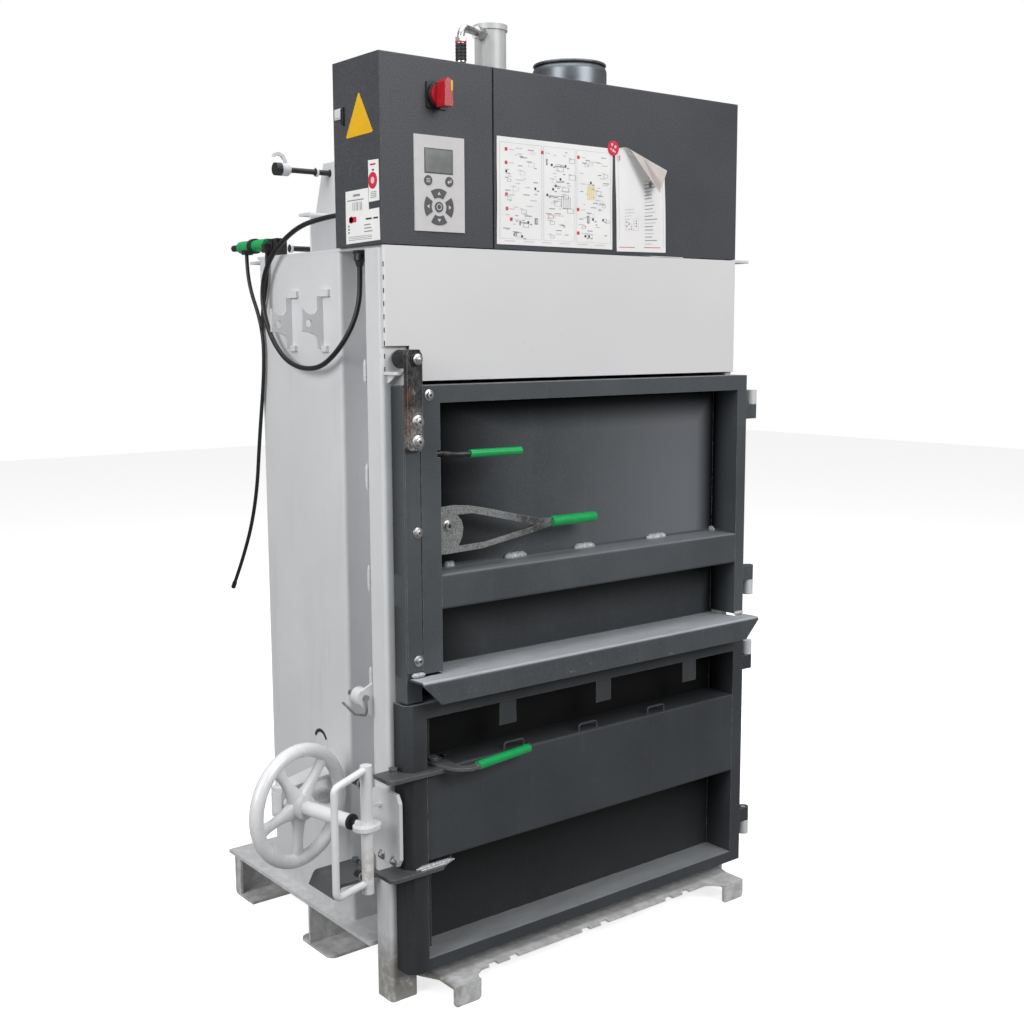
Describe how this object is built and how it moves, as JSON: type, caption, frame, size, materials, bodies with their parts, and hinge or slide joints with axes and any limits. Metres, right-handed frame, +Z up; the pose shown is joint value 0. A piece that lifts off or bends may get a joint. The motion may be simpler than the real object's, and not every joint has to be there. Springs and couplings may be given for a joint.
{
  "type": "recycling baler",
  "caption": "Upright baling press with a two-part hinged front, a loading lip, a handwheel door lock, a hooded control head and a vertical hydraulic ram.",
  "frame": {"origin": "on the floor, on the underside of the middle foot, at the middle plane of the hood", "axes": "+X to the right seen from the front, +Y from the doors to the back, +Z up"},
  "size_m": [1.2502, 0.783, 1.985],
  "materials": {
    "white_paint": "satin paint, lightly worn",
    "cover_paint": "satin paint",
    "hood_paint": "fine textured powder coat",
    "door_paint": "satin paint, scratched and dusty",
    "plate_paint": "satin paint, worn at its edges",
    "cast_paint": "glossy paint",
    "barrel_paint": "satin paint",
    "platen_paint": "worn paint",
    "chrome_rod": "polished",
    "bare_steel": "bare, dull",
    "worn_steel": "worn, oily, with a rust streak",
    "zinc": "zinc plated",
    "green_grip": "soft dipped plastic",
    "black_rubber": "matt",
    "black_plastic": "matt",
    "clamp_steel": "black",
    "motor_paint": "satin",
    "cowl_steel": "pressed sheet, painted grey",
    "red_plastic": "glossy",
    "keypad_foil": "printed foil"
  },
  "bodies": {
    "frame": {"base_plate": "white_paint", "middle_foot": "white_paint", "rear_foot": "white_paint", "front_sill": "white_paint", "side_walls": "white_paint", "rear_wall": "white_paint", "floor_plates": "white_paint", "front_posts": "white_paint", "stiffening_beams": "white_paint", "top_plate": "white_paint", "front_cover": "cover_paint", "roller_guide": "white_paint", "guard_plate": "white_paint", "hook_brackets": "white_paint", "plunger_housing": "white_paint", "frame_hinges": "white_paint", "cylinder_barrel": "barrel_paint", "oil_tank": "white_paint", "motor": "motor_paint", "fan_cowl": "cowl_steel", "hose_fitting": "zinc", "hydraulic_hose": "black_rubber", "hood": "hood_paint", "control_box": "hood_paint", "switch_plate": "black_plastic", "keypad": "keypad_foil", "lock_bracket": "white_paint", "shelf_plate": "plate_paint", "strap_axles": "white_paint", "rear_bar": "clamp_steel", "rear_grip": "green_grip", "cable_glands": "black_plastic", "control_cable": "black_rubber", "hanging_lead": "black_rubber", "lead_tip": "black_rubber"},
    "ram": {"platen": "platen_paint", "piston_rod": "chrome_rod"},
    "upper_door": {"upper_door_frame": "door_paint", "mid_rail": "door_paint", "loading_lip": "door_paint", "lock_strip": "door_paint", "worn_strap": "worn_steel", "door_screws": "zinc", "upper_door_hinges": "door_paint"},
    "release": {"release_lever": "bare_steel", "release_grip": "green_grip"},
    "fork": {"y_lever": "bare_steel", "y_lever_grip": "green_grip"},
    "roller_body": {"roller": "black_rubber"},
    "lower_door": {"lower_door_frame": "door_paint", "wide_rail": "door_paint", "latch_plates": "plate_paint", "lower_door_hinges": "door_paint"},
    "latch": {"latch_lever": "plate_paint", "latch_grip": "green_grip"},
    "lock_swing_body": {"trunnion": "cast_paint"},
    "wheel": {"handwheel": "cast_paint"},
    "lock_slide_body": {"lock_bar": "cast_paint"},
    "switch": {"switch_handle": "red_plastic"},
    "plunger": {"plunger_pin": "bare_steel"}
  },
  "joints": [
    {"name": "upper_door_hinge", "type": "hinge", "parent": "frame", "child": "upper_door", "pos_m": [0.512, -0.32, 0.94], "axis": [0, 0, 1], "range_deg": [0, 120]},
    {"name": "lower_door_hinge", "type": "hinge", "parent": "frame", "child": "lower_door", "pos_m": [0.512, -0.32, 0.34], "axis": [0, 0, 1], "range_deg": [0, 120]},
    {"name": "ram_slide", "type": "slide", "parent": "frame", "child": "ram", "axis": [0, 0, -1], "range_m": [0, 0.49]},
    {"name": "release_lever_pivot", "type": "hinge", "parent": "upper_door", "child": "release", "pos_m": [-0.384, -0.328, 1.088], "axis": [0, 0, 1], "range_deg": [-20, 0]},
    {"name": "fork_lever_pivot", "type": "hinge", "parent": "upper_door", "child": "fork", "pos_m": [-0.346, -0.3129, 0.945], "axis": [0, 1, 0], "range_deg": [-22, 0]},
    {"name": "roller_spin", "type": "hinge", "parent": "upper_door", "child": "roller_body", "pos_m": [-0.438, -0.316, 1.266], "axis": [0, 1, 0], "continuous": true},
    {"name": "latch_lever_pivot", "type": "hinge", "parent": "lower_door", "child": "latch", "pos_m": [-0.385, -0.312, 0.481], "axis": [0, 0, 1], "range_deg": [-20, 0]},
    {"name": "lock_swing", "type": "hinge", "parent": "frame", "child": "lock_swing_body", "pos_m": [-0.60661, -0.10295, 0.395], "axis": [0, 0, 1], "range_deg": [-60, 0]},
    {"name": "handwheel_spin", "type": "hinge", "parent": "lock_swing_body", "child": "wheel", "pos_m": [-0.59451, -0.15147, 0.395], "axis": [-0.2419, 0.9703, 0], "range_deg": [0, 2160]},
    {"name": "lock_bar_travel", "type": "slide", "parent": "lock_swing_body", "child": "lock_slide_body", "axis": [0.2419, -0.9703, 0], "range_m": [0, 0.03]},
    {"name": "switch_turn", "type": "hinge", "parent": "frame", "child": "switch", "pos_m": [-0.35, -0.315, 1.75], "axis": [0, 1, 0], "range_deg": [0, 90]},
    {"name": "plunger_pull", "type": "slide", "parent": "frame", "child": "plunger", "axis": [0, -1, 0], "range_m": [0, 0.012], "stiffness_N_per_m": 300}
  ],
  "couplings": [
    {"joint": "lock_bar_travel", "follows": "handwheel_spin", "m_per_rad": 0.00079577}
  ]
}
